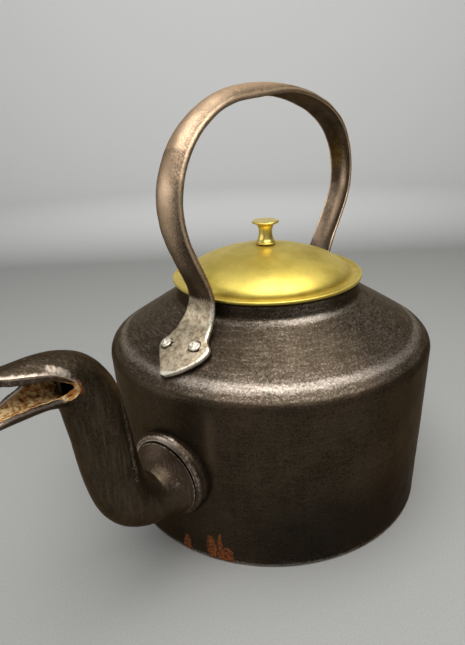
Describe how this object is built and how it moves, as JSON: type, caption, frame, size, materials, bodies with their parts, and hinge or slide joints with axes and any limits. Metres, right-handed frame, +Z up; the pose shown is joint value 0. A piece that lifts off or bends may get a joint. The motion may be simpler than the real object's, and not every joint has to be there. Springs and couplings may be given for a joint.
{
  "type": "cast iron stove kettle",
  "caption": "Round stove kettle in cast iron: swan-neck spout with an open beak, riveted strap handle and a lift-off domed brass lid with a knob.",
  "frame": {"origin": "centre of the flat underside", "axes": "+Z up through the lid knob, +X towards the spout's tip, the strap handle lies in the plane Y = 0"},
  "size_m": [0.3319, 0.2184, 0.2716],
  "materials": {
    "body_iron": "dark brown-black cast iron with a rubbed, oiled sheen, fine sand-cast grain and rust near the base",
    "spout_iron": "dark grey-brown iron with fine brush marks, pale wear on edges and limescale in the mouth",
    "handle_iron": "forged strap, brown and hand-worn to pale metal on its crown, edges and feet",
    "rivet_iron": "hammered rivet heads worn almost white",
    "lid_brass": "satin yellow brass with faint tarnish in the crease and small pits",
    "knob_brass": "polished turned brass"
  },
  "bodies": {
    "kettle": {"kettle_body": "body_iron", "spout_collar": "spout_iron", "spout": "spout_iron", "handle_strap": "handle_iron", "handle_rivet_front_left": "rivet_iron", "handle_rivet_front_right": "rivet_iron", "handle_rivet_rear_left": "rivet_iron", "handle_rivet_rear_right": "rivet_iron"},
    "lid": {"lid_cover": "lid_brass", "lid_locating_ring": "lid_brass", "lid_knob": "knob_brass", "knob_washer": "lid_brass"}
  },
  "joints": [
    {"name": "lid_lift", "type": "slide", "parent": "kettle", "child": "lid", "axis": [0, 0, 1], "range_m": [0, 0.065]}
  ]
}
